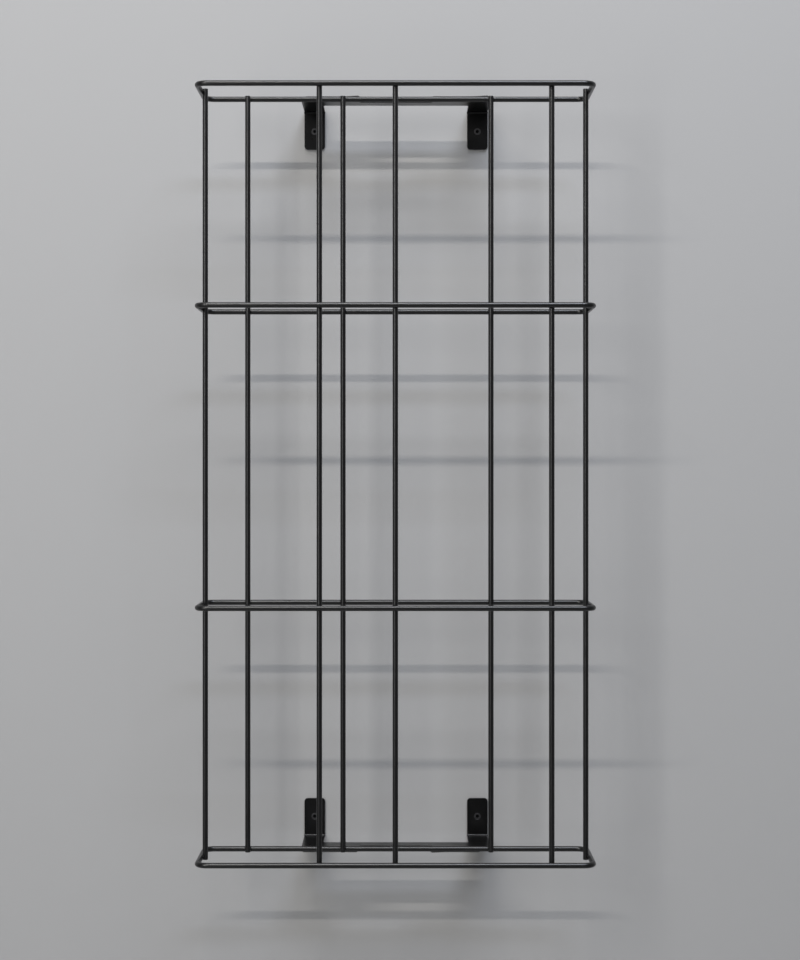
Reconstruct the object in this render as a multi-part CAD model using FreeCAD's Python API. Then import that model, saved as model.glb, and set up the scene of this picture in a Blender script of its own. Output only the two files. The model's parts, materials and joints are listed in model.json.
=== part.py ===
import FreeCAD, Part
import math
import os

# A wall-hung bookshelf of welded round steel wire: four bent rings, one above the other, are joined
# by eight straight uprights, and two folded sheet-steel brackets hold the back rails off the wall.
# Frame: +X to the right, +Y into the wall, +Z up. The origin lies on the wall plane, at the centre
# of the four wall screws. All sizes are in millimetres.

# Rings
wire_diameter = 6.0
ring_width = 455.0  # outside, left to right
ring_depth = 106.0  # outside, front to back
ring_bend_radius = 12.0  # at the wire's centreline
bend_kinks = 4  # mitred kinks that stand for one round bend
top_tier_pitch = 250.5  # between the centrelines of neighbouring rings
middle_tier_pitch = 342.5
bottom_tier_pitch = 290.5
rail_to_wall = 80.0  # from the back rails' centreline to the wall

# Uprights, all welded to the inner side of the rings. Each inset is measured from the centreline
# of the side rail on that end; the front centre upright stands at the middle of the front rails.
front_left_inset = 138.5
front_right_inset = 47.5
back_left_inset = 50.5
back_centre_inset = 162.5  # from the left
back_right_inset = 112.5
upright_overrun = 3.0  # past the centrelines of the top and bottom rings
weld_set_down = 1.0  # how deep a rail is forged into an upright where they cross

# Wall brackets, each cut from one sheet and folded at the wall
sheet_thickness = 3.0
tab_spacing = 198.0  # between the centres of the two tabs
tab_width = 25.0
tab_end_margin = 22.0  # from the screw's axis to the tab's free end
tab_corner_radius = 4.0
fold_radius = 2.5  # inside the fold
relief_length = 86.0  # shallow notch in the front edge, between the two weld feet
relief_depth = 10.0
bridge_width = 21.0  # strip between the relief and the window that the two arms leave open
cut_corner_radius = 3.0  # inside corners of the cut outline

# Weld beads that join the brackets' feet to the rail, on the outer face of the sheet
bead_end_margin = 3.0  # from the end of a foot to the end of its bead
bead_radius = 3.0
bead_lift = 0.8  # from the sheet's face to the bead's centreline
bead_run_out = 4.0  # length over which each end slopes down to the sheet

# Countersunk wall screws
screw_drop = 25.0  # from the sheet's middle plane to the screw's axis
screw_length = 40.0
screw_head_diameter = 8.0
screw_head_sink = 0.2  # the head's face lies this far below the tab's face
screw_neck_diameter = 2.9
screw_neck_length = 0.25  # between the head's cone and the thread
screw_thread_diameter = 4.0
screw_point_length = 5.0
screw_hole_clearance = 0.25  # between the thread and the hole, on each side

wire_radius = wire_diameter / 2
upright_offset = wire_diameter - weld_set_down
rail_half_width = ring_width / 2 - wire_radius
back_rail_y = -rail_to_wall
front_rail_y = back_rail_y - (ring_depth - wire_diameter)
top_ring_z = (top_tier_pitch + middle_tier_pitch + bottom_tier_pitch) / 2
upper_ring_z = top_ring_z - top_tier_pitch
lower_ring_z = upper_ring_z - middle_tier_pitch
bottom_ring_z = lower_ring_z - bottom_tier_pitch
ring_heights = {
    "top_ring": top_ring_z,
    "upper_ring": upper_ring_z,
    "lower_ring": lower_ring_z,
    "bottom_ring": bottom_ring_z,
}

half_sheet = sheet_thickness / 2
feet_y = back_rail_y + wire_radius
relief_y = feet_y + relief_depth
bridge_rear_y = relief_y + bridge_width
fold_start_y = -(sheet_thickness + fold_radius)
fold_end_z = -(half_sheet + fold_radius)
tab_end_z = -(screw_drop + tab_end_margin)
half_tab = tab_width / 2
arm_x = tab_spacing / 2
arm_inner_x = arm_x - half_tab
arm_outer_x = arm_x + half_tab
half_relief = relief_length / 2

screw_head_radius = screw_head_diameter / 2
screw_neck_radius = screw_neck_diameter / 2
screw_thread_radius = screw_thread_diameter / 2
screw_hole_radius = screw_thread_radius + screw_hole_clearance

match_tolerance = 0.01  # for picking out edges by their place and direction

ORIGIN = FreeCAD.Vector(0, 0, 0)
ALONG_X = FreeCAD.Vector(1, 0, 0)
ALONG_Y = FreeCAD.Vector(0, 1, 0)
ALONG_Z = FreeCAD.Vector(0, 0, 1)
MITRED = 1  # the sweep's transition at a kink


def point(x, y, z):
    return FreeCAD.Vector(x, y, z)


def flat_face(points):
    return Part.Face(Part.makePolygon(points + points[:1]))


def round_corners(shape, radius, axis, is_corner):
    """Rounds the straight edges along an axis whose middles are chosen by is_corner."""
    corners = []
    for edge in shape.Edges:
        if not isinstance(edge.Curve, Part.Line):
            continue
        along_axis = abs(edge.Curve.Direction.dot(axis)) > 1 - match_tolerance
        if along_axis and is_corner(edge.CenterOfMass):
            corners.append(edge)
    return shape.makeFillet(radius, corners)


def make_ring(ring_z):
    """One closed ring of wire, swept with mitred joins along its rails and the chords of its bends."""
    bend_x = rail_half_width - ring_bend_radius
    bend_back_y = back_rail_y - ring_bend_radius
    bend_front_y = front_rail_y + ring_bend_radius
    bend_centres = [
        point(bend_x, bend_back_y, ring_z),
        point(-bend_x, bend_back_y, ring_z),
        point(-bend_x, bend_front_y, ring_z),
        point(bend_x, bend_front_y, ring_z),
    ]
    # The rails and the chords are tangent to the bend's arc, so the kinks lie a little outside it.
    half_step = math.radians(90 / bend_kinks) / 2
    kink_radius = ring_bend_radius / math.cos(half_step)
    kinks = []
    for quarter, centre in enumerate(bend_centres):
        for kink in range(bend_kinks):
            angle = math.radians(90 * quarter) + half_step * (2 * kink + 1)
            outward = point(math.cos(angle), math.sin(angle), 0)
            kinks.append(centre + outward * kink_radius)
    start = (kinks[-1] + kinks[0]) * 0.5
    path = Part.makePolygon([start] + kinks + [start])
    section = Part.Wire(Part.makeCircle(wire_radius, start, kinks[0] - start))
    return path.makePipeShell([section], True, False, MITRED).removeSplitter()


def make_upright(x, y, facing_degrees):
    """A straight wire with a shallow seat for the rail of each ring, on the side that it faces."""
    low = bottom_ring_z - upright_overrun
    high = top_ring_z + upright_overrun
    wire = Part.makeCylinder(wire_radius, high - low, point(0, 0, low), ALONG_Z)
    seat_y = wire_radius - weld_set_down
    half_seat = math.sqrt(wire_radius ** 2 - seat_y ** 2)
    seats = []
    for ring_z in ring_heights.values():
        corner = point(-wire_radius, seat_y, ring_z - half_seat)
        seats.append(Part.makeBox(wire_diameter, weld_set_down, 2 * half_seat, corner))
    upright = wire.cut(seats)
    upright.rotate(ORIGIN, ALONG_Z, facing_degrees)
    return upright.translated(point(x, y, 0))


def make_flat_blank():
    """The bracket's flat part: two weld feet, the bridge between them and the two arms."""
    right_half = [
        (half_relief, relief_y),
        (half_relief, feet_y),
        (arm_outer_x, feet_y),
        (arm_outer_x, fold_start_y),
        (arm_inner_x, fold_start_y),
        (arm_inner_x, bridge_rear_y),
    ]
    left_half = [(-x, y) for x, y in reversed(right_half)]
    outline = [point(x, y, -half_sheet) for x, y in right_half + left_half]
    blank = flat_face(outline).extrude(ALONG_Z * sheet_thickness)
    inside_corners = [(half_relief, relief_y), (arm_inner_x, bridge_rear_y)]

    def is_inside_corner(middle):
        offsets = [math.hypot(abs(middle.x) - x, middle.y - y) for x, y in inside_corners]
        return min(offsets) < match_tolerance

    return round_corners(blank, cut_corner_radius, ALONG_Z, is_inside_corner)


def make_fold(x):
    """The quarter bend that turns one arm of the sheet along the wall."""
    section = flat_face([
        point(x - half_tab, fold_start_y, -half_sheet),
        point(x + half_tab, fold_start_y, -half_sheet),
        point(x + half_tab, fold_start_y, half_sheet),
        point(x - half_tab, fold_start_y, half_sheet),
    ])
    return section.revolve(point(x, fold_start_y, fold_end_z), ALONG_X, -90)


def make_tab(x):
    """The tab that lies on the wall, with its two free corners rounded."""
    front = flat_face([
        point(x - half_tab, -sheet_thickness, fold_end_z),
        point(x + half_tab, -sheet_thickness, fold_end_z),
        point(x + half_tab, -sheet_thickness, tab_end_z),
        point(x - half_tab, -sheet_thickness, tab_end_z),
    ])
    tab = front.extrude(ALONG_Y * sheet_thickness)
    return round_corners(tab, tab_corner_radius, ALONG_Y, lambda middle: middle.z < fold_end_z)


def make_screw_hole(x):
    """A clearance hole with a countersink on which the screw's head seats."""
    start = point(x, -sheet_thickness, -screw_drop)
    mouth_radius = screw_head_radius + screw_head_sink
    depth = mouth_radius - screw_hole_radius
    hole = Part.makeCylinder(screw_hole_radius, sheet_thickness, start, ALONG_Y)
    sink = Part.makeCone(mouth_radius, screw_hole_radius, depth, start, ALONG_Y)
    return hole.fuse(sink)


def make_bracket():
    """The top bracket about its sheet's middle plane, with both tabs folded down."""
    folded = [make_flat_blank()]
    holes = []
    for x in (-arm_x, arm_x):
        folded += [make_fold(x), make_tab(x)]
        holes.append(make_screw_hole(x))
    return folded[0].multiFuse(folded[1:]).removeSplitter().cut(holes)


def make_bead_section(x):
    """A bead cut across: its base on the sheet, its round crown and its side on the rail."""
    rail_centre = point(x, back_rail_y, 0)
    bead_centre = point(x, feet_y, half_sheet + bead_lift)
    root = point(x, back_rail_y + math.sqrt(wire_radius ** 2 - half_sheet ** 2), half_sheet)
    toe = point(x, feet_y + math.sqrt(bead_radius ** 2 - bead_lift ** 2), half_sheet)
    # The crown meets the rail where the bead's circle and the rail's circle cross.
    between = bead_centre - rail_centre
    reach = (between.Length ** 2 + wire_radius ** 2 - bead_radius ** 2) / (2 * between.Length)
    along = between.normalize()
    across = ALONG_X.cross(along)
    crown_end = rail_centre + along * reach + across * math.sqrt(wire_radius ** 2 - reach ** 2)
    crown_top = bead_centre + (toe + crown_end - root * 2).normalize() * bead_radius
    rail_middle = rail_centre + (root + crown_end - rail_centre * 2).normalize() * wire_radius
    return Part.Face(Part.Wire([
        Part.LineSegment(root, toe).toShape(),
        Part.Arc(toe, crown_top, crown_end).toShape(),
        Part.Arc(crown_end, rail_middle, root).toShape(),
    ]))


def make_bead(start_x, end_x):
    """One weld bead along a foot of the top bracket, sloping down to the sheet at both ends."""
    run = make_bead_section(start_x).extrude(ALONG_X * (end_x - start_x))
    high_z = half_sheet + bead_lift + bead_radius
    low_y = run.BoundBox.YMin
    slopes = flat_face([
        point(start_x, low_y, half_sheet),
        point(end_x, low_y, half_sheet),
        point(end_x - bead_run_out, low_y, high_z),
        point(start_x + bead_run_out, low_y, high_z),
    ])
    return run.common(slopes.extrude(ALONG_Y * run.BoundBox.YLength))


def make_screw(x):
    """A wood screw of the top bracket: flush head, neck, and the envelope of its thread and point."""
    face_y = screw_head_sink - sheet_thickness
    neck_y = face_y + screw_head_radius - screw_neck_radius
    thread_y = neck_y + screw_neck_length
    tip_y = face_y + screw_length
    half_section = flat_face([
        point(0, face_y, 0),
        point(screw_head_radius, face_y, 0),
        point(screw_neck_radius, neck_y, 0),
        point(screw_neck_radius, thread_y, 0),
        point(screw_thread_radius, thread_y, 0),
        point(screw_thread_radius, tip_y - screw_point_length, 0),
        point(0, tip_y, 0),
    ])
    screw = half_section.revolve(ORIGIN, ALONG_Y, 360)
    return screw.translated(point(x, 0, -screw_drop))


def at_top(shape):
    return shape.translated(point(0, 0, top_ring_z))


def at_bottom(shape):
    """The bottom bracket and its fixings are the mirror image of the top ones."""
    return shape.mirror(ORIGIN, ALONG_Z).translated(point(0, 0, bottom_ring_z))


def make_uprights():
    """Two side uprights at mid depth, three behind the front rails, three before the back rails."""
    side_x = rail_half_width - upright_offset
    side_y = (back_rail_y + front_rail_y) / 2
    front_y = front_rail_y + upright_offset
    back_y = back_rail_y - upright_offset
    return {
        "left_side_upright": make_upright(-side_x, side_y, 90),
        "right_side_upright": make_upright(side_x, side_y, -90),
        "front_left_upright": make_upright(front_left_inset - rail_half_width, front_y, 180),
        "front_centre_upright": make_upright(0, front_y, 180),
        "front_right_upright": make_upright(rail_half_width - front_right_inset, front_y, 180),
        "back_left_upright": make_upright(back_left_inset - rail_half_width, back_y, 0),
        "back_centre_upright": make_upright(back_centre_inset - rail_half_width, back_y, 0),
        "back_right_upright": make_upright(rail_half_width - back_right_inset, back_y, 0),
    }


def make_fixings():
    """Both brackets, their four weld beads, and the screws in a left and a right pair."""
    bracket = make_bracket()
    fixings = {
        "top_wall_bracket": at_top(bracket),
        "bottom_wall_bracket": at_bottom(bracket),
    }
    bead_inner_x = half_relief + bead_end_margin
    bead_outer_x = arm_outer_x - bead_end_margin
    beads = {
        "left": make_bead(-bead_outer_x, -bead_inner_x),
        "right": make_bead(bead_inner_x, bead_outer_x),
    }
    screws = {
        "left": make_screw(-arm_x),
        "right": make_screw(arm_x),
    }
    for side in ("left", "right"):
        fixings[f"top_{side}_weld_bead"] = at_top(beads[side])
        fixings[f"bottom_{side}_weld_bead"] = at_bottom(beads[side])
        pair = [at_top(screws[side]), at_bottom(screws[side])]
        fixings[f"{side}_wall_screws"] = Part.makeCompound(pair)
    return fixings


rings = {name: make_ring(ring_z) for name, ring_z in ring_heights.items()}
os.makedirs("parts", exist_ok=True)
for name, shape in {**rings, **make_uprights(), **make_fixings()}.items():
    shape.exportStep(f"parts/{name}.step")
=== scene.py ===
import json
import math

import bmesh
import bpy
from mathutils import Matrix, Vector, geometry, noise


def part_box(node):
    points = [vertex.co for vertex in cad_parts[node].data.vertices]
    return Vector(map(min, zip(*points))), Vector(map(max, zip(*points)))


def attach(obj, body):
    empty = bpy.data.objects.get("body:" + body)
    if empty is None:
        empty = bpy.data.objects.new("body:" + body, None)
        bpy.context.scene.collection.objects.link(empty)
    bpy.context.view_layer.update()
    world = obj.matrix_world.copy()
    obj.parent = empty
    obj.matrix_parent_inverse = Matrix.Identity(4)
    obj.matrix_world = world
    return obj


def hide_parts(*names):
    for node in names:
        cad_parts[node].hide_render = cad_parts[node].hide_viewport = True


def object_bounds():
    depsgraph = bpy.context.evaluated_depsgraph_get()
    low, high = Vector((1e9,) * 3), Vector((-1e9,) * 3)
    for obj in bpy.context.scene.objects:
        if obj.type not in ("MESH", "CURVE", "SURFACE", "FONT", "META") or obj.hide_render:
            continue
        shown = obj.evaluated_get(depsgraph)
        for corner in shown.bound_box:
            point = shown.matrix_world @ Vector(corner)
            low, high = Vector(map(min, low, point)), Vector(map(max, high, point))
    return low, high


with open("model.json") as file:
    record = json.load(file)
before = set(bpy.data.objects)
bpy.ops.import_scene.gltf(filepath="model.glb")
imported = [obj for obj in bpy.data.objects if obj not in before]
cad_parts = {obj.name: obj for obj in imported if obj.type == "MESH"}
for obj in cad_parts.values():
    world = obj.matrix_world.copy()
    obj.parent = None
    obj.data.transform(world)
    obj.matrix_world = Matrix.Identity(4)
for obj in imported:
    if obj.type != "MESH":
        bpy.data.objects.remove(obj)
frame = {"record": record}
cad_low, cad_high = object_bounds()

# A bookshelf of welded black wire that hangs on four screws, dressed over its CAD frame. +X is to the
# right, +Y goes backwards, the way that the screws point, and +Z is up. Lengths are in metres, written
# in millimetres where a maker would.
MM = 0.001
UP = Vector((0, 0, 1))
RIGHT = Vector((1, 0, 0))
BACKWARD = Vector((0, 1, 0))

# Wire
RINGS = ("top_ring", "upper_ring", "lower_ring", "bottom_ring")
# The way from each upright to the rails that it is welded to
UPRIGHT_FACING = {
    "left_side_upright": -RIGHT,
    "right_side_upright": RIGHT,
    "front_left_upright": -BACKWARD,
    "front_centre_upright": -BACKWARD,
    "front_right_upright": -BACKWARD,
    "back_left_upright": BACKWARD,
    "back_centre_upright": BACKWARD,
    "back_right_upright": BACKWARD,
}
WIRE_COAT = 0.15 * MM  # stands proud of the bare wire
WIRE_SIDES = 32
BEND_RADIUS = 12 * MM
BEND_STEPS = 16
BEND_FLATTENING = 0.03  # share of the wire's thickness that a tight bend takes away
WIRE_END_ROUNDING = 0.7 * MM
WIRE_END_STEPS = 5

# Weld flash squeezed out round each crossing of two wires
FLASH_RADIUS = 2.5 * MM  # from the middle of the crossing
FLASH_SPILL = 0.45 * MM  # how far the flash stands out of the gap that it fills
FLASH_UNEVENNESS = 0.35
FLASH_STEPS = 28
FLASH_SIDES = 12

# Folded brackets
SHEET = 3 * MM
TAB_WIDTH = 25 * MM
TAB_CORNER_RADIUS = 4 * MM
FOLD_INSIDE_RADIUS = 2.5 * MM
FOLD_STEPS = 12
FOLD_BULGE = 0.45 * MM  # metal that the fold presses out at the arm's two edges, on its inside
RELIEF_LENGTH = 86 * MM
RELIEF_DEPTH = 10 * MM
BRIDGE_WIDTH = 21 * MM
CUT_CORNER_RADIUS = 3 * MM
FOOT_CORNER_RADIUS = 0.8 * MM
CORNER_STEPS = 8
EDGE_ROUNDING = 0.4 * MM
EDGE_STEPS = 4
HOLE_RADIUS = 2.25 * MM
SINK_RADIUS = 4.2 * MM
HOLE_BEVEL = 0.2 * MM  # at the two rims of a hole
HOLE_SIDES = 48
SINK_RIM_WEAR = 1.0
HOLE_RIM_WEAR = 0.5
BESIDE_RIM_WEAR = 0.2
SAME_LINE = EDGE_ROUNDING / 100  # how near to a fold line a point that is on it lies
SAME_PLACE = 0.0001 * MM  # points nearer than this are one
KEEP_INSIDE = 1  # the kind of triangulation that has no triangles outside the outline
FLAT_FACE_WEIGHT = 100  # how strongly large faces draw the shading flat

# Weld beads along the brackets' feet
BEAD_BEHIND_RAIL = 0.4 * MM  # from the rail's rear to the bead's middle line
BEAD_UNDER_FACE = 0.4 * MM  # from the sheet's face down to that line
BEAD_LEAN_DEGREES = 75  # the crown's direction, up from level and away from the rail
BEAD_CROWN = 3.4 * MM
BEAD_HALF_WIDTH = 3.4 * MM
BEAD_SUNK_DEPTH = 1.2 * MM  # the hidden side, inside the rail and the sheet
BEAD_WANDER = 0.3 * MM  # how far the bead strays from its line
BEAD_WANDER_LENGTH = 9 * MM
BEAD_LUMP_LENGTH = 13 * MM
BEAD_TIP_LENGTH = 3.5 * MM
BEAD_TIP_SHARE = 0.02  # share of the thickness that is left at the very tip
BEAD_RIPPLE_PITCH = 2.4 * MM
BEAD_RIPPLE_DEPTH = 0.09  # share of the crown
BEAD_RIPPLE_MEAN = 0.6  # about the ripples' mean height, so that the crown's own stays as it is
BEAD_RIPPLE_BOW = 1.6 * MM  # how far each ripple's middle runs ahead of its ends
BEAD_CREST_WEAR = 0.35
BEAD_ROW_STEP = 0.3 * MM
BEAD_SIDES = 28
# Each bead is laid by hand: how far its two ends run past the CAD bead's, towards +X, its thickness,
# and how much thicker it is again at each end.
BEAD_BUILD = {
    "top_left_weld_bead": {"ends": (0.5 * MM, 4.5 * MM), "crown": 0.9, "lumps": (0.0, 0.32)},
    "top_right_weld_bead": {"ends": (-4.0 * MM, 2.5 * MM), "crown": 0.9, "lumps": (0.05, 0.34)},
    "bottom_left_weld_bead": {"ends": (-3.0 * MM, 2.0 * MM), "crown": 1.0, "lumps": (0.06, 0.08)},
    "bottom_right_weld_bead": {"ends": (-6.0 * MM, -8.0 * MM), "crown": 1.0, "lumps": (0.2, 0.06)},
}

# Countersunk screws
SCREW_NECK_RADIUS = 1.45 * MM
SCREW_CORE_RADIUS = 1.25 * MM
SCREW_RIM = 0.25 * MM  # height of the head's edge above its cone, half of it bevelled
SCREW_POINT_LENGTH = 5 * MM
SCREW_POINT_SHARE = 0.02  # share of the thickness that is left at the very point
THREAD_PITCH = 1.8 * MM
THREAD_SHARE = 0.2  # half of the ridge's width, as a share of the pitch
THREAD_ROWS_PER_TURN = 12
SCREW_SIDES = 48
RECESS_RADIUS = 1.7 * MM  # of the star's middle line, between its six points and its six hollows
RECESS_WAVE = 0.28 * MM  # how far the points and hollows stand from that line
RECESS_POINTS = 6
RECESS_DEPTH = 1.9 * MM
RECESS_SLOPE = 0.16 * MM  # width over which the recess's side slopes
FACE_WEAR = 0.6
RIM_WEAR = 0.8
HEAD_STEPS = 36

# Camera, from the photograph's perspective
CAMERA_PLACE = Vector((0.0115, -2.444, 0.00775))
CAMERA_LENS_MM = 75.2
PHOTO_HEIGHT = 960  # pixels; the frame's longer side, of which a camera's shift is a share
FRAME_SHIFT_PIXELS = Vector((-5.5, -12.5))  # right and up

# Stage and light
BACKDROP_GAP = 0.2 * MM
TAB_CUT_MARGIN = 1.5 * MM  # between a tab's edge and the edge of the backdrop's cut-out behind it
TAB_BANDS = (1, 3)  # the bands of the backdrop's grid, both across it and up it, that the tabs are in
STAGE_HALF_WIDTH = 6.0
STAGE_HEIGHT = 5.0
FLOOR_DROP = 1.5  # below the lowest wire
SURROUND_LEVEL = 0.14  # strength of the even glow all round

# Sockets of the Mix node when it mixes colours
MIX_FACTOR = 0
MIX_A = 6
MIX_B = 7
MIX_RESULT = 2


def linear(hex_colour):
    """An sRGB hex colour as linear red, green, blue and alpha, by the sRGB standard's own curve."""
    channels = [int(hex_colour[start:start + 2], 16) / 255 for start in (1, 3, 5)]
    curved = [c / 12.92 if c <= 0.04045 else ((c + 0.055) / 1.055) ** 2.4 for c in channels]
    return (*curved, 1.0)


def add_node(tree, kind, inputs=None, **settings):
    """Adds a node; an input that is a socket is linked, and any other is set."""
    node = tree.nodes.new(kind)
    for name, value in settings.items():
        setattr(node, name, value)
    for socket, value in (inputs or {}).items():
        if isinstance(value, bpy.types.NodeSocket):
            tree.links.new(value, node.inputs[socket])
        else:
            node.inputs[socket].default_value = value
    return node


def new_material(name):
    """A material that has no nodes yet, and its node tree."""
    material = bpy.data.materials.new(name)
    material.use_nodes = True
    material.node_tree.nodes.clear()
    return material, material.node_tree


def powder_coat(name, peel_mm, peel_height_mm, smoothest, roughest, ior):
    """Satin black polyester powder coat, sprayed and baked. It melts into a skin with a fine orange
    peel, a little cloudy in gloss, and a rubbed, greyer line where the surface stands proudest."""
    material, tree = new_material(name)
    place = add_node(tree, "ShaderNodeTexCoord").outputs["Object"]
    cloud_mm = 35
    clouds = add_node(tree, "ShaderNodeTexNoise", {
        "Vector": place, "Scale": 1 / (cloud_mm * MM), "Detail": 3.0, "Roughness": 0.6,
    })
    peel = add_node(tree, "ShaderNodeTexNoise", {
        "Vector": place, "Scale": 1 / (peel_mm * MM), "Detail": 2.0, "Roughness": 0.45,
    })
    # Specks of dust baked into the coat are a tenth of this size, and are drawn coarser to show.
    speck_mm = 1.6
    specks = add_node(tree, "ShaderNodeTexNoise", {
        "Vector": place, "Scale": 1 / (speck_mm * MM), "Detail": 1.0,
    })
    speck_share = add_node(tree, "ShaderNodeMapRange", {
        "Value": specks.outputs["Fac"],
        "From Min": 0.66, "From Max": 0.74, "To Min": 0.0, "To Max": 0.5,
    })
    coat = add_node(tree, "ShaderNodeMix", {
        MIX_FACTOR: clouds.outputs["Fac"], MIX_A: linear("#040404"), MIX_B: linear("#070708"),
    }, data_type="RGBA")
    specked = add_node(tree, "ShaderNodeMix", {
        MIX_FACTOR: speck_share.outputs["Result"],
        MIX_A: coat.outputs[MIX_RESULT], MIX_B: linear("#202021"),
    }, data_type="RGBA")
    wear = add_node(tree, "ShaderNodeAttribute", attribute_name="wear")
    rubbed = add_node(tree, "ShaderNodeMath", {
        0: wear.outputs["Fac"], 1: clouds.outputs["Fac"],
    }, operation="MULTIPLY")
    colour = add_node(tree, "ShaderNodeMix", {
        MIX_FACTOR: rubbed.outputs["Value"],
        MIX_A: specked.outputs[MIX_RESULT], MIX_B: linear("#353536"),
    }, data_type="RGBA")
    roughness = add_node(tree, "ShaderNodeMapRange", {
        "Value": clouds.outputs["Fac"],
        "From Min": 0.3, "From Max": 0.7, "To Min": smoothest, "To Max": roughest,
    })
    bump = add_node(tree, "ShaderNodeBump", {
        "Height": peel.outputs["Fac"], "Distance": peel_height_mm * MM, "Strength": 1.0,
    })
    shader = add_node(tree, "ShaderNodeBsdfPrincipled", {
        "Base Color": colour.outputs[MIX_RESULT], "Roughness": roughness.outputs["Result"],
        "Normal": bump.outputs["Normal"], "IOR": ior,
    })
    add_node(tree, "ShaderNodeOutputMaterial", {"Surface": shader.outputs["BSDF"]})
    return material


def phosphated_screw_steel():
    """Hardened steel, phosphated black and oiled: a dull crystalline grey-black that the driver's bit
    rubs to bare grey round the recess."""
    material, tree = new_material("phosphated_screw_steel")
    place = add_node(tree, "ShaderNodeTexCoord").outputs["Object"]
    # The crystals are about 0.02 mm, and are drawn ten times as coarse to show.
    crystal_mm = 0.2
    crystal_height_mm = 0.01
    crystals = add_node(tree, "ShaderNodeTexVoronoi", {"Vector": place, "Scale": 1 / (crystal_mm * MM)})
    wear = add_node(tree, "ShaderNodeAttribute", attribute_name="wear")
    skin = add_node(tree, "ShaderNodeMix", {
        MIX_FACTOR: crystals.outputs["Distance"], MIX_A: linear("#141415"), MIX_B: linear("#202021"),
    }, data_type="RGBA")
    colour = add_node(tree, "ShaderNodeMix", {
        MIX_FACTOR: wear.outputs["Fac"], MIX_A: skin.outputs[MIX_RESULT], MIX_B: linear("#68686a"),
    }, data_type="RGBA")
    roughness = add_node(tree, "ShaderNodeMapRange", {
        "Value": wear.outputs["Fac"], "To Min": 0.52, "To Max": 0.38,
    })
    bump = add_node(tree, "ShaderNodeBump", {
        "Height": crystals.outputs["Distance"], "Distance": crystal_height_mm * MM, "Strength": 0.6,
    })
    shader = add_node(tree, "ShaderNodeBsdfPrincipled", {
        "Base Color": colour.outputs[MIX_RESULT], "Roughness": roughness.outputs["Result"],
        "Normal": bump.outputs["Normal"], "Metallic": 1.0,
    })
    add_node(tree, "ShaderNodeOutputMaterial", {"Surface": shader.outputs["BSDF"]})
    return material


def stage_paint(name, hex_colour):
    """Plain matt emulsion on the stage. It is painted on the front only, so that the part can be seen
    from behind the backdrop and from under the floor."""
    material, tree = new_material(name)
    paint = add_node(tree, "ShaderNodeBsdfDiffuse", {"Color": linear(hex_colour)})
    clear = add_node(tree, "ShaderNodeBsdfTransparent")
    side = add_node(tree, "ShaderNodeNewGeometry")
    surface = add_node(tree, "ShaderNodeMixShader", {
        0: side.outputs["Backfacing"], 1: paint.outputs["BSDF"], 2: clear.outputs["BSDF"],
    })
    add_node(tree, "ShaderNodeOutputMaterial", {"Surface": surface.outputs["Shader"]})
    return material


class Surface:
    """The points and faces of one piece, with the wear at each point."""

    def __init__(self):
        self.points = []
        self.faces = []
        self.wear = []

    def add_row(self, row, wear=0.0):
        """Adds points that are worn alike, and returns their numbers."""
        first = len(self.points)
        self.points += row
        self.wear += [wear] * len(row)
        return list(range(first, len(self.points)))

    def join_rows(self, near, far):
        """Quads between two closed rows of as many points."""
        for index in range(len(near)):
            after = (index + 1) % len(near)
            self.faces.append((near[index], near[after], far[after], far[index]))

    def add_tube(self, rows, closed=False, wear=None):
        """A skin over closed rows of points. An open tube is capped at both ends."""
        wear = wear or [0.0] * len(rows)
        placed = [self.add_row(row, amount) for row, amount in zip(rows, wear)]
        for near, far in zip(placed, placed[1:]):
            self.join_rows(near, far)
        if closed:
            self.join_rows(placed[-1], placed[0])
        else:
            self.faces.append(tuple(reversed(placed[0])))
            self.faces.append(tuple(placed[-1]))

    def make_piece(self, name, material, slot, *nodes):
        """The finished mesh, riding on the frame in place of the CAD nodes that it stands for."""
        mesh = bpy.data.meshes.new(name)
        mesh.from_pydata(self.points, [], self.faces)
        wear = mesh.attributes.new("wear", "FLOAT", "POINT")
        wear.data.foreach_set("value", self.wear)
        shell = bmesh.new()
        shell.from_mesh(mesh)
        bmesh.ops.recalc_face_normals(shell, faces=shell.faces)
        shell.to_mesh(mesh)
        shell.free()
        mesh.shade_smooth()
        mesh.materials.append(material)
        piece = bpy.data.objects.new(name, mesh)
        bpy.context.scene.collection.objects.link(piece)
        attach(piece, "root")
        if nodes:
            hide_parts(*nodes)
        return piece


def circle(centre, across, upward, radius, sides):
    """A closed row of points round a centre, in the plane of two directions."""
    row = []
    for side in range(sides):
        angle = 2 * math.pi * side / sides
        row.append(centre + (across * math.cos(angle) + upward * math.sin(angle)) * radius)
    return row


def box_middle(node):
    """The middle of a CAD node's box."""
    low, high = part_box(node)
    return (low + high) / 2


def ring_height(ring):
    """The height of the middle of a ring's wire."""
    return box_middle(ring).z


def screw_height(pair, bottom):
    """The height of the bottom or the top screw of a pair, whose box its heads set."""
    low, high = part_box(pair)
    head_radius = (high.x - low.x) / 2
    return low.z + head_radius if bottom else high.z - head_radius


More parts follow.
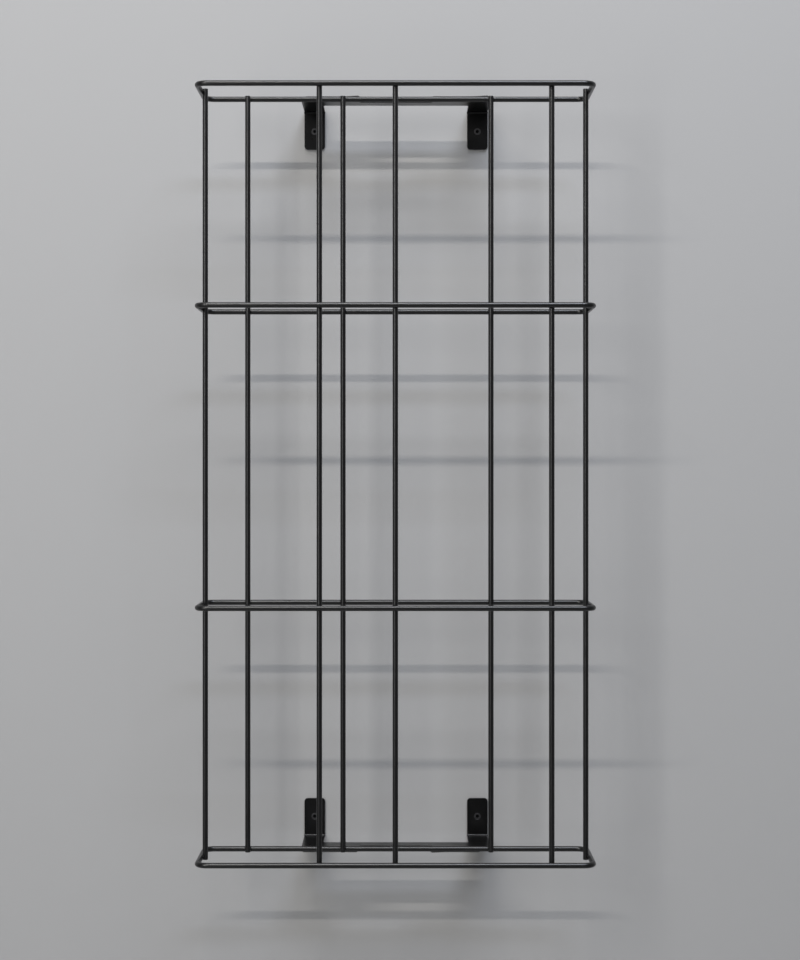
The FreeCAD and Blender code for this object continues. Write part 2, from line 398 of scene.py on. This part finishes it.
def make_ring(ring, material):
    """One ring of bent wire, a little flattened where it is bent."""
    low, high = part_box(ring)
    bare_radius = (high.z - low.z) / 2
    inset = bare_radius + BEND_RADIUS
    corners = [
        (high.x - inset, high.y - inset),
        (low.x + inset, high.y - inset),
        (low.x + inset, low.y + inset),
        (high.x - inset, low.y + inset),
    ]
    rows = []
    for quarter, (x, y) in enumerate(corners):
        for step in range(BEND_STEPS + 1):
            share = step / BEND_STEPS
            angle = math.radians(90 * (quarter + share))
            outward = Vector((math.cos(angle), math.sin(angle), 0))
            centre = Vector((x, y, ring_height(ring))) + outward * BEND_RADIUS
            flattened = outward * (1 - BEND_FLATTENING * math.sin(math.pi * share))
            rows.append(circle(centre, flattened, UP, bare_radius + WIRE_COAT, WIRE_SIDES))
    surface = Surface()
    surface.add_tube(rows, closed=True)
    surface.make_piece(f"{ring}_wire", material, "coated_wire", ring)


def make_upright(upright, material):
    """One straight wire whose sheared ends are rounded by the coat."""
    low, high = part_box(upright)
    middle = (low + high) / 2
    core_radius = (high.x - low.x) / 2 + WIRE_COAT - WIRE_END_ROUNDING
    ends = []
    for step in range(WIRE_END_STEPS + 1):
        angle = math.radians(90) * step / WIRE_END_STEPS
        radius = core_radius + WIRE_END_ROUNDING * math.sin(angle)
        inset = WIRE_END_ROUNDING * (1 - math.cos(angle))
        ends.append((radius, inset))
    levels = [(radius, low.z + inset) for radius, inset in ends]
    levels += [(radius, high.z - inset) for radius, inset in reversed(ends)]
    rows = []
    for radius, z in levels:
        rows.append(circle(Vector((middle.x, middle.y, z)), RIGHT, BACKWARD, radius, WIRE_SIDES))
    surface = Surface()
    surface.add_tube(rows)
    surface.make_piece(f"{upright}_wire", material, "coated_wire", upright)


def add_flash(surface, upright, ring):
    """The uneven collar of weld metal in the narrow gap round one crossing."""
    low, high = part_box(ring)
    bare_radius = (high.z - low.z) / 2
    coated_radius = bare_radius + WIRE_COAT
    facing = UPRIGHT_FACING[upright]
    along = facing.cross(UP)
    upright_place = box_middle(upright)
    upright_place.z = ring_height(ring)
    rail_side = high if facing.dot(RIGHT + BACKWARD) > 0 else low
    rail_place = upright_place + facing * (abs(facing.dot(rail_side - upright_place)) - bare_radius)
    spacing = (rail_place - upright_place).length
    rows = []
    for step in range(FLASH_STEPS):
        angle = 2 * math.pi * step / FLASH_STEPS
        outward = along * math.cos(angle) + UP * math.sin(angle)
        rail_face = math.sqrt(coated_radius ** 2 - (FLASH_RADIUS * math.sin(angle)) ** 2)
        upright_face = spacing - math.sqrt(coated_radius ** 2 - (FLASH_RADIUS * math.cos(angle)) ** 2)
        centre = rail_place - facing * ((rail_face + upright_face) / 2) + outward * FLASH_RADIUS
        unevenness = 1 + FLASH_UNEVENNESS * noise.noise(centre / MM)
        thickness = abs(upright_face - rail_face) / 2 + FLASH_SPILL * unevenness
        rows.append(circle(centre, outward, facing, thickness, FLASH_SIDES))
    surface.add_tube(rows, closed=True)


def make_ring_flash(ring, material):
    """The weld flash at every crossing of one ring, which the CAD frame leaves out."""
    surface = Surface()
    for upright in UPRIGHT_FACING:
        add_flash(surface, upright, ring)
    surface.make_piece(f"{ring}_weld_flash", material, "coated_weld")


def rounded_outline(corners):
    """The corners of an outline, each given with the radius that rounds it, as a list of points."""
    outline = []
    for index, (corner, radius) in enumerate(corners):
        if not radius:
            outline.append(corner)
            continue
        back = (corners[index - 1][0] - corner).normalized()
        onward = (corners[(index + 1) % len(corners)][0] - corner).normalized()
        half_angle = back.angle(onward) / 2
        start = corner + back * radius / math.tan(half_angle)
        end = corner + onward * radius / math.tan(half_angle)
        centre = corner + (back + onward).normalized() * radius / math.sin(half_angle)
        for step in range(CORNER_STEPS + 1):
            way = (start - centre).slerp(end - centre, step / CORNER_STEPS)
            outline.append(centre + way * radius)
    return outline


def inset_outline(outline, distance):
    """The outline moved inwards; it runs anticlockwise."""
    moved = []
    for index, place in enumerate(outline):
        into = (place - outline[index - 1]).normalized()
        out = (outline[(index + 1) % len(outline)] - place).normalized()
        normal_in = Vector((-into.y, into.x))
        normal_out = Vector((-out.y, out.x))
        moved.append(place + (normal_in + normal_out) * distance / (1 + normal_in.dot(normal_out)))
    return moved


def loop_edges(first, count):
    """The edges of a closed row of points, from the number of its first point."""
    return [(first + index, first + (index + 1) % count) for index in range(count)]


class BracketSheet:
    """A bracket as it is made: cut flat from sheet, countersunk, then folded at the back into two tabs.
    A flat place is x and the run along the sheet, which is y as far as the fold. Heights are from the
    middle of the sheet towards the outside of the fold."""

    def __init__(self, node, upside_down):
        low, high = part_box(node)
        self.flip = -1 if upside_down else 1
        self.plate_z = low.z + SHEET / 2 if upside_down else high.z - SHEET / 2
        self.feet_y = low.y
        self.arm_outer_x = high.x
        self.arm_inner_x = high.x - TAB_WIDTH
        self.arm_x = (self.arm_outer_x + self.arm_inner_x) / 2
        self.middle_radius = FOLD_INSIDE_RADIUS + SHEET / 2
        self.fold_start = high.y - SHEET - FOLD_INSIDE_RADIUS
        self.fold_end = self.fold_start + self.middle_radius * math.pi / 2
        self.tab_end = self.fold_end + (high.z - low.z) - SHEET - FOLD_INSIDE_RADIUS
        drop = abs(screw_height("left_wall_screws", upside_down) - self.plate_z)
        hole_run = self.fold_end + drop - self.middle_radius
        self.holes = [Vector((-self.arm_x, hole_run)), Vector((self.arm_x, hole_run))]

    def folded(self, flat, height):
        """Where a flat place lies once the sheet is folded."""
        turn = min(max((flat.y - self.fold_start) / self.middle_radius, 0), math.pi / 2)
        radius = self.middle_radius + height
        level = min(flat.y, self.fold_start)
        down = max(flat.y - self.fold_end, 0)
        y = level + radius * math.sin(turn)
        z = radius * math.cos(turn) - self.middle_radius - down
        from_middle = flat.x - math.copysign(self.arm_x, flat.x)
        squeezed = math.sin(2 * turn) * (0.5 - height / SHEET) * from_middle / (TAB_WIDTH / 2)
        x = flat.x + FOLD_BULGE * squeezed
        return Vector((x, y, self.plate_z + self.flip * z))

    def fold_lines(self):
        """The runs of the lines that divide the fold."""
        return [
            self.fold_start + (self.fold_end - self.fold_start) * step / FOLD_STEPS
            for step in range(FOLD_STEPS + 1)
        ]

    def outline(self):
        """The blank's cut edge, anticlockwise, with a point wherever a fold line meets it."""
        half_relief = RELIEF_LENGTH / 2
        relief_y = self.feet_y + RELIEF_DEPTH
        bridge_y = relief_y + BRIDGE_WIDTH
        right_half = [
            (Vector((half_relief, relief_y)), CUT_CORNER_RADIUS),
            (Vector((half_relief, self.feet_y)), FOOT_CORNER_RADIUS),
            (Vector((self.arm_outer_x, self.feet_y)), FOOT_CORNER_RADIUS),
            *[(Vector((self.arm_outer_x, line)), 0) for line in self.fold_lines()],
            (Vector((self.arm_outer_x, self.tab_end)), TAB_CORNER_RADIUS),
            (Vector((self.arm_inner_x, self.tab_end)), TAB_CORNER_RADIUS),
            *[(Vector((self.arm_inner_x, line)), 0) for line in reversed(self.fold_lines())],
            (Vector((self.arm_inner_x, bridge_y)), CUT_CORNER_RADIUS),
        ]
        left_half = [(Vector((-place.x, place.y)), radius) for place, radius in reversed(right_half)]
        return rounded_outline(right_half + left_half)

    def add_rim(self, surface, flat, height, wear):
        """A closed row of flat places, folded. Returns the places and the numbers of their points."""
        return flat, surface.add_row([self.folded(place, height) for place in flat], wear)

    def add_edge(self, surface):
        """The rounded cut edge. Returns its rims on the fold's inside and outside."""
        profile = []
        for step in range(EDGE_STEPS + 1):
            angle = math.radians(90) * step / EDGE_STEPS
            inset = EDGE_ROUNDING * (1 - math.sin(angle))
            height = SHEET / 2 - EDGE_ROUNDING * (1 - math.cos(angle))
            profile.append((inset, height, math.sin(2 * angle)))
        levels = [(inset, -height, wear) for inset, height, wear in profile]
        levels += reversed(profile)
        outline = self.outline()
        rims = []
        for inset, height, wear in levels:
            rims.append(self.add_rim(surface, inset_outline(outline, inset), height, wear))
        for (_, near), (_, far) in zip(rims, rims[1:]):
            surface.join_rows(near, far)
        return rims[0], rims[-1]

    def add_hole(self, surface, hole):
        """A countersunk hole. Returns its rims on the fold's inside, where it is sunk, and outside."""
        half = SHEET / 2
        sink_depth = SINK_RADIUS - HOLE_RADIUS
        levels = [
            (SINK_RADIUS + HOLE_BEVEL, -half, BESIDE_RIM_WEAR),
            (SINK_RADIUS, HOLE_BEVEL - half, SINK_RIM_WEAR),
            (HOLE_RADIUS, sink_depth - half, 0.0),
            (HOLE_RADIUS, half - HOLE_BEVEL, HOLE_RIM_WEAR),
            (HOLE_RADIUS + HOLE_BEVEL, half, BESIDE_RIM_WEAR),
        ]
        rims = []
        for radius, height, wear in levels:
            flat = circle(hole, Vector((1, 0)), Vector((0, 1)), radius, HOLE_SIDES)
            rims.append(self.add_rim(surface, flat, height, wear))
        for (_, near), (_, far) in zip(rims, rims[1:]):
            surface.join_rows(near, far)
        return rims[0], rims[-1]

    def add_face(self, surface, edge_rim, hole_rims):
        """Triangles over one face of the sheet, between its edge, its fold lines and its holes."""
        edge_flat, edge_row = edge_rim
        places = list(edge_flat)
        indices = list(edge_row)
        edges = loop_edges(0, len(edge_flat))
        for flat, row in hole_rims:
            edges += loop_edges(len(places), len(flat))
            places += flat
            indices += row
        for line in self.fold_lines():
            on_line = [index for index, place in enumerate(edge_flat) if abs(place.y - line) < SAME_LINE]
            on_line.sort(key=lambda index: edge_flat[index].x)
            left_outer, left_inner, right_inner, right_outer = on_line
            edges += [(left_outer, left_inner), (right_inner, right_outer)]
        found, _, triangles, originals, _, _ = geometry.delaunay_2d_cdt(
            places, edges, [], KEEP_INSIDE, SAME_PLACE,
        )
        for triangle in triangles:
            middle = sum((found[corner] for corner in triangle), Vector((0, 0))) / len(triangle)
            in_hole = any(
                (middle - hole).length < (flat[0] - hole).length
                for hole, (flat, _) in zip(self.holes, hole_rims)
            )
            if not in_hole:
                surface.faces.append(tuple(indices[originals[corner][0]] for corner in triangle))

    def make_surface(self):
        """The folded sheet: its cut edge, its two holes and its two faces."""
        surface = Surface()
        inside_edge, outside_edge = self.add_edge(surface)
        hole_rims = [self.add_hole(surface, hole) for hole in self.holes]
        self.add_face(surface, inside_edge, [inside for inside, _ in hole_rims])
        self.add_face(surface, outside_edge, [outside for _, outside in hole_rims])
        return surface


def make_bracket(node, upside_down, material):
    """One folded bracket, shaded round at its edges and its fold and flat elsewhere."""
    surface = BracketSheet(node, upside_down).make_surface()
    piece = surface.make_piece(f"{node}_sheet", material, "coated_sheet", node)
    flats = piece.modifiers.new("flat faces stay flat", "WEIGHTED_NORMAL")
    flats.weight = FLAT_FACE_WEIGHT


def bead_swell(run, length, build):
    """How thick a bead is at a distance along it: lumps where it starts and stops, with round tips."""
    lumps = 0.0
    for from_end, lump in zip((run, length - run), build["lumps"]):
        lumps += lump * math.exp(-((from_end / BEAD_LUMP_LENGTH) ** 2))
    tip = min(run, length - run, BEAD_TIP_LENGTH) / BEAD_TIP_LENGTH
    return build["crown"] * (1 + lumps) * max(math.sqrt(1 - (1 - tip) ** 2), BEAD_TIP_SHARE)


def ripple_height(run):
    """The height of a bead's ripples at a distance along it, from 0 in a groove to 1 on a crest."""
    return abs(math.sin(math.pi * run / BEAD_RIPPLE_PITCH))


def bead_row(centre, run, swell, crown_way, width_way):
    """The points round a bead at one place along it."""
    row = []
    for side in range(BEAD_SIDES):
        angle = 2 * math.pi * side / BEAD_SIDES
        crown = math.cos(angle)
        width = math.sin(angle)
        ripple = ripple_height(run + BEAD_RIPPLE_BOW * width * width) - BEAD_RIPPLE_MEAN
        height = BEAD_CROWN * (1 + BEAD_RIPPLE_DEPTH * ripple) if crown > 0 else BEAD_SUNK_DEPTH
        outward = crown_way * (crown * height * swell) + width_way * (width * BEAD_HALF_WIDTH * swell)
        row.append(centre + outward)
    return row


def make_bead(node, upside_down, material):
    """A hand-laid weld bead, with bowed ripples one behind the other."""
    low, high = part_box(node)
    flip = -1 if upside_down else 1
    bracket_low, bracket_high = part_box("bottom_wall_bracket" if upside_down else "top_wall_bracket")
    sheet_face = bracket_low.z if upside_down else bracket_high.z
    lean = math.radians(BEAD_LEAN_DEGREES)
    crown_way = Vector((0, math.cos(lean), flip * math.sin(lean)))
    width_way = Vector((0, -math.sin(lean), flip * math.cos(lean)))
    line_y = bracket_low.y + BEAD_BEHIND_RAIL
    line_z = sheet_face - flip * BEAD_UNDER_FACE
    build = BEAD_BUILD[node]
    start_x = low.x + build["ends"][0]
    length = high.x + build["ends"][1] - start_x
    steps = round(length / BEAD_ROW_STEP)
    rows = []
    wear = []
    for step in range(steps + 1):
        run = length * step / steps
        swell = bead_swell(run, length, build)
        wander = BEAD_WANDER * noise.noise(Vector((start_x + run, 0, sheet_face)) / BEAD_WANDER_LENGTH)
        centre = Vector((start_x + run, line_y + wander, line_z))
        rows.append(bead_row(centre, run, swell, crown_way, width_way))
        wear.append(BEAD_CREST_WEAR * ripple_height(run))
    surface = Surface()
    surface.add_tube(rows, wear=wear)
    surface.make_piece(f"{node}_rippled", material, "coated_weld", node)


def smooth_step(value, low, high):
    """Rises smoothly from 0 at the low value to 1 at the high one."""
    share = min(max((value - low) / (high - low), 0), 1)
    return share * share * (3 - 2 * share)


def recess_depth(x, z):
    """The depth of the head's star recess at a place on its face."""
    edge = RECESS_RADIUS + RECESS_WAVE * math.cos(RECESS_POINTS * math.atan2(z, x))
    return RECESS_DEPTH * (1 - smooth_step(math.hypot(x, z), edge - RECESS_SLOPE, edge))


def screw_face_rows(place, head_radius):
    """The rows of a head's face, from the middle of its recess outwards, and the wear of each."""
    star_tip = RECESS_RADIUS + RECESS_WAVE
    rows = []
    wear = []
    for step in range(1, HEAD_STEPS + 1):
        radius = (head_radius - SCREW_RIM / 2) * step / HEAD_STEPS
        row = []
        for spot in circle(Vector((0, 0, 0)), RIGHT, UP, radius, SCREW_SIDES):
            row.append(place + spot + BACKWARD * recess_depth(spot.x, spot.z))
        rows.append(row)
        wear.append(FACE_WEAR if radius > star_tip else 0.0)
    return rows, wear


def thread_rows(place, neck_depth, thread_length, thread_radius):
    """The rows of a screw's thread, from the neck under its head to its point."""
    rows = []
    steps = round(thread_length / THREAD_PITCH * THREAD_ROWS_PER_TURN)
    for step in range(1, steps + 1):
        run = thread_length * step / steps
        taper = max(min((thread_length - run) / SCREW_POINT_LENGTH, 1), SCREW_POINT_SHARE)
        starting = min(run / THREAD_PITCH, 1)
        row = []
        for side in range(SCREW_SIDES):
            angle = 2 * math.pi * side / SCREW_SIDES
            # The ridge's crest is half-way along each pitch.
            phase = (run / THREAD_PITCH - side / SCREW_SIDES) % 1
            ridge = max(1 - abs(phase - 0.5) / THREAD_SHARE, 0) * starting
            radius = (SCREW_CORE_RADIUS + (thread_radius - SCREW_CORE_RADIUS) * ridge) * taper
            way = RIGHT * math.cos(angle) + UP * math.sin(angle)
            row.append(place + BACKWARD * (neck_depth + run) + way * radius)
        rows.append(row)
    return rows


def add_screw(surface, place, head_radius, thread_radius, length):
    """One countersunk wood screw, from its head's face at the given place backwards."""
    rows, wear = screw_face_rows(place, head_radius)
    neck_depth = SCREW_RIM + head_radius - SCREW_NECK_RADIUS
    cone = [(head_radius, SCREW_RIM / 2), (head_radius, SCREW_RIM), (SCREW_NECK_RADIUS, neck_depth)]
    rows += [circle(place + BACKWARD * depth, RIGHT, UP, radius, SCREW_SIDES) for radius, depth in cone]
    wear += [RIM_WEAR, 0.0, 0.0]
    thread = thread_rows(place, neck_depth, length - neck_depth, thread_radius)
    surface.add_tube(rows + thread, wear=wear + [0.0] * len(thread))


def make_screws(pair, material):
    """The pair of screws on one side of the part."""
    low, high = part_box(pair)
    head_radius = (high.x - low.x) / 2
    screw_mount = frame["record"]["mounts"][0]
    thread_radius = screw_mount["dims"]["stud_r_mm"] * MM
    surface = Surface()
    for bottom in (True, False):
        face = Vector(((low.x + high.x) / 2, low.y, screw_height(pair, bottom)))
        add_screw(surface, face, head_radius, thread_radius, high.y - low.y)
    surface.make_piece(f"{pair}_threaded", material, "black_screw_steel", pair)


def make_part():
    """Every piece of the bookshelf, each with its own finish. The coat's resin has an IOR of about 1.5,
    which is matched to the object: the coat on the wire mirrors most, and that on the sheet least."""
    on_wire = powder_coat(
        "powder_coated_drawn_wire",
        peel_mm=1.4, peel_height_mm=0.005, smoothest=0.30, roughest=0.36, ior=1.58,
    )
    on_sheet = powder_coat(
        "powder_coated_cut_sheet",
        peel_mm=1.8, peel_height_mm=0.012, smoothest=0.27, roughest=0.34, ior=1.38,
    )
    on_weld = powder_coat(
        "powder_coated_weld_metal",
        peel_mm=1.0, peel_height_mm=0.010, smoothest=0.32, roughest=0.42, ior=1.45,
    )
    screw_steel = phosphated_screw_steel()
    for ring in RINGS:
        make_ring(ring, on_wire)
        make_ring_flash(ring, on_weld)
    for upright in UPRIGHT_FACING:
        make_upright(upright, on_wire)
    for end, upside_down in (("top", False), ("bottom", True)):
        make_bracket(f"{end}_wall_bracket", upside_down, on_sheet)
        for side in ("left", "right"):
            make_bead(f"{end}_{side}_weld_bead", upside_down, on_weld)
    for side in ("left", "right"):
        make_screws(f"{side}_wall_screws", screw_steel)


def add_stage(name, places, faces, material):
    """A flat sheet of the stage, which isn't part of the object."""
    mesh = bpy.data.meshes.new(name)
    mesh.from_pydata(places, [], faces)
    mesh.materials.append(material)
    plane = bpy.data.objects.new(name, mesh)
    bpy.context.scene.collection.objects.link(plane)


def make_backdrop(floor_z):
    """The upright sheet behind the part, which takes its shadow. It is cut away behind the four tabs,
    where it can't be seen from the front, so that their backs aren't in the dark from behind."""
    top_low, top_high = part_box("top_wall_bracket")
    bottom_low, bottom_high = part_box("bottom_wall_bracket")
    outer = top_high.x - TAB_CUT_MARGIN
    inner = top_high.x - TAB_WIDTH + TAB_CUT_MARGIN
    fold = SHEET + FOLD_INSIDE_RADIUS + TAB_CUT_MARGIN
    across = [-STAGE_HALF_WIDTH, -outer, -inner, inner, outer, STAGE_HALF_WIDTH]
    upward = [
        floor_z, bottom_low.z + fold, bottom_high.z - TAB_CUT_MARGIN,
        top_low.z + TAB_CUT_MARGIN, top_high.z - fold, floor_z + STAGE_HEIGHT,
    ]
    places = [(x, BACKDROP_GAP, z) for z in upward for x in across]
    faces = []
    for row in range(len(upward) - 1):
        for column in range(len(across) - 1):
            behind_tab = row in TAB_BANDS and column in TAB_BANDS
            if not behind_tab:
                corner = row * len(across) + column
                faces.append((corner, corner + 1, corner + len(across) + 1, corner + len(across)))
    add_stage("backdrop", places, faces, stage_paint("matt_grey_backdrop", "#b0b0b0"))


def make_stage():
    """A plain backdrop at the backs of the tabs and a plain pale floor."""
    floor_z = cad_low.z - FLOOR_DROP
    make_backdrop(floor_z)
    wide = STAGE_HALF_WIDTH
    corners = [(-wide, -wide), (wide, -wide), (wide, wide), (-wide, wide)]
    places = [(x, y, floor_z) for x, y in corners]
    add_stage("floor", places, [(0, 1, 2, 3)], stage_paint("matt_pale_floor", "#b0b0af"))


def add_lamp(name, place, target, width, height, watts, hex_colour="#ffffff"):
    """A soft rectangular studio lamp that faces a target and isn't seen itself."""
    light = bpy.data.lights.new(name, "AREA")
    light.shape = "RECTANGLE"
    light.size = width
    light.size_y = height
    light.energy = watts
    light.color = linear(hex_colour)[:3]
    lamp = bpy.data.objects.new(name, light)
    lamp.location = place
    lamp.rotation_euler = (Vector(target) - Vector(place)).to_track_quat("-Z", "Y").to_euler()
    lamp.visible_camera = False
    bpy.context.scene.collection.objects.link(lamp)


def make_light():
    """A long lamp high on the left, a cooler one high on the right, one overhead, two tall ones in
    front on the left, one behind the backdrop for the backs of the tabs and the screws, and an even
    glow all round."""
    add_lamp(
        "long_high_lamp", place=(-0.9, -2.45, 2.4), target=(-0.9, -0.1, 0),
        width=1.8, height=0.06, watts=42, hex_colour="#fffaf2",
    )
    add_lamp(
        "cool_right_lamp", place=(0.9, -2.3, 2.9), target=(0.9, -0.1, 0),
        width=1.4, height=0.3, watts=40, hex_colour="#e4edff",
    )
    add_lamp(
        "overhead_lamp", place=(0.3, -1.6, 3.5), target=(0.3, -0.15, -0.3),
        width=2.4, height=0.5, watts=78, hex_colour="#f8faff",
    )
    add_lamp(
        "left_front_lamp", place=(-1.4, -2.7, 0.95), target=(0, -0.1, 0.1),
        width=0.8, height=1.2, watts=20,
    )
    add_lamp(
        "low_left_lamp", place=(-1.5, -2.6, -0.45), target=(0, -0.1, -0.2),
        width=0.6, height=1.1, watts=8.5,
    )
    add_lamp("rear_lamp", place=(1.2, 3.4, 2.2), target=(0, 0, 0), width=1.6, height=1.6, watts=60)
    world = bpy.data.worlds.new("studio_surround")
    world.use_nodes = True
    tree = world.node_tree
    tree.nodes.clear()
    glow = add_node(tree, "ShaderNodeBackground", {
        "Color": linear("#ffffff"), "Strength": SURROUND_LEVEL,
    })
    add_node(tree, "ShaderNodeOutputWorld", {"Surface": glow.outputs["Background"]})
    bpy.context.scene.world = world


def make_camera():
    """The photograph's viewpoint: square on to the part, with the frame shifted a little."""
    lens = bpy.data.cameras.new("photo_camera")
    lens.lens = CAMERA_LENS_MM
    lens.shift_x = FRAME_SHIFT_PIXELS.x / PHOTO_HEIGHT
    lens.shift_y = FRAME_SHIFT_PIXELS.y / PHOTO_HEIGHT
    camera = bpy.data.objects.new("photo_camera", lens)
    camera.location = CAMERA_PLACE
    camera.rotation_euler = BACKWARD.to_track_quat("-Z", "Y").to_euler()
    bpy.context.scene.collection.objects.link(camera)
    bpy.context.scene.camera = camera


make_part()
make_stage()
make_light()
make_camera()
bpy.context.scene.view_settings.view_transform = "Standard"
